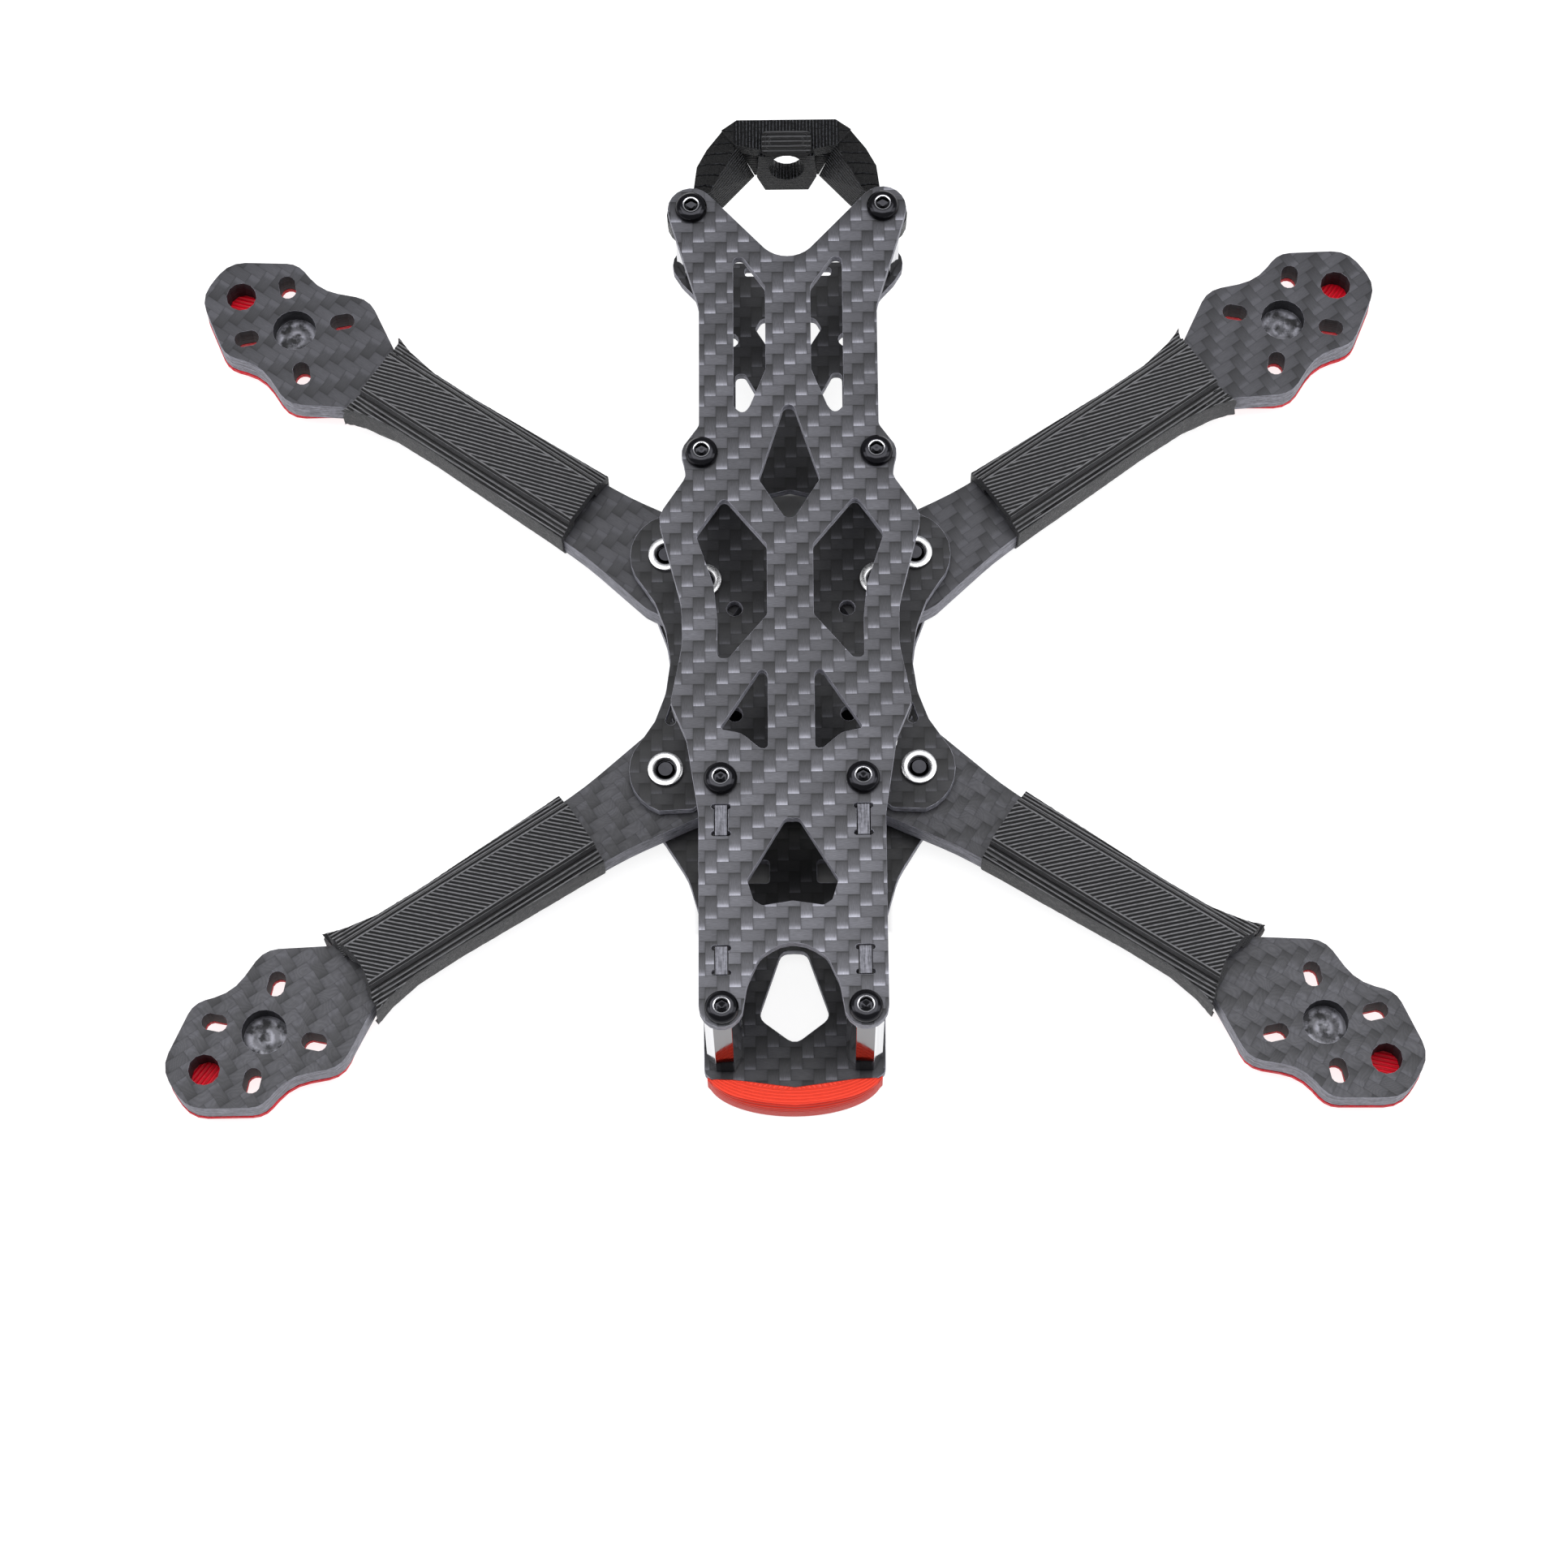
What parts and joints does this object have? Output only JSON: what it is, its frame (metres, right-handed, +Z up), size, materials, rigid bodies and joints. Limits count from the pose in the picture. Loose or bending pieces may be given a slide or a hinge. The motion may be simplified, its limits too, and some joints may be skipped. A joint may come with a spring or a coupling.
{
  "type": "quadcopter racing frame",
  "caption": "Bare carbon-fibre quadcopter racing frame with bolted arms, hexagonal standoffs, printed arm guards, nose bumper and antenna mount.",
  "frame": {"origin": "centre of the electronics deck: the top face of the mid plate, midway between the four motors", "axes": "+X to the right, +Y to the rear, +Z up; the nose with the red bumper points along -Y"},
  "size_m": [0.2162, 0.1761, 0.0351],
  "materials": {
    "carbon": "twill-weave carbon fibre plate, satin epoxy face",
    "carbon_lower": "twill-weave carbon fibre plate, darker in the frame's shade",
    "carbon_arm": "twill-weave carbon fibre, 5 mm, fine-sanded face and machined edge",
    "carbon_cage": "carbon fibre plate with a pale laminated edge",
    "tpu_black": "3D-printed flexible black plastic with glossy print lines",
    "tpu_red": "3D-printed flexible red-orange plastic",
    "pad_red": "3D-printed flexible red plastic",
    "polished_metal": "hexagonal bar, polished to a mirror, dark neutral",
    "black_steel": "black-oxide steel, oiled",
    "bright_steel": "bright plated steel"
  },
  "bodies": {
    "root": {"antenna_mount": "tpu_black", "arm_bolt_inner_front_left": "black_steel", "arm_bolt_inner_front_right": "black_steel", "arm_bolt_inner_rear_left": "black_steel", "arm_bolt_inner_rear_right": "black_steel", "arm_bolt_outer_front_left": "black_steel", "arm_bolt_outer_front_right": "black_steel", "arm_bolt_outer_rear_left": "black_steel", "arm_bolt_outer_rear_right": "black_steel", "arm_front_left": "carbon_arm", "arm_front_right": "carbon_arm", "arm_guard_front_left": "tpu_black", "arm_guard_front_right": "tpu_black", "arm_guard_rear_left": "tpu_black", "arm_guard_rear_right": "tpu_black", "arm_nut_inner_front_left": "bright_steel", "arm_nut_inner_front_right": "bright_steel", "arm_nut_inner_rear_left": "bright_steel", "arm_nut_inner_rear_right": "bright_steel", "arm_nut_outer_front_left": "bright_steel", "arm_nut_outer_front_right": "bright_steel", "arm_nut_outer_rear_left": "bright_steel", "arm_nut_outer_rear_right": "bright_steel", "arm_rear_left": "carbon_arm", "arm_rear_right": "carbon_arm", "bottom_plate": "carbon_lower", "camera_plate_left": "carbon_cage", "camera_plate_right": "carbon_cage", "mid_plate": "carbon_lower", "motor_pad_front_left": "pad_red", "motor_pad_front_right": "pad_red", "motor_pad_rear_left": "pad_red", "motor_pad_rear_right": "pad_red", "nose_bumper": "tpu_red", "post_screw_nose_left": "black_steel", "post_screw_nose_right": "black_steel", "post_screw_rear_left": "black_steel", "post_screw_rear_right": "black_steel", "post_screw_shoulder_left": "black_steel", "post_screw_shoulder_right": "black_steel", "post_screw_waist_left": "black_steel", "post_screw_waist_right": "black_steel", "standoff_nose_left": "polished_metal", "standoff_nose_right": "polished_metal", "standoff_rear_left": "polished_metal", "standoff_rear_right": "polished_metal", "standoff_shoulder_left": "polished_metal", "standoff_shoulder_right": "polished_metal", "standoff_waist_left": "polished_metal", "standoff_waist_right": "polished_metal", "top_plate": "carbon", "top_screw_nose_left": "black_steel", "top_screw_nose_right": "black_steel", "top_screw_rear_left": "black_steel", "top_screw_rear_right": "black_steel", "top_screw_shoulder_left": "black_steel", "top_screw_shoulder_right": "black_steel", "top_screw_waist_left": "black_steel", "top_screw_waist_right": "black_steel"}
  },
  "joints": []
}
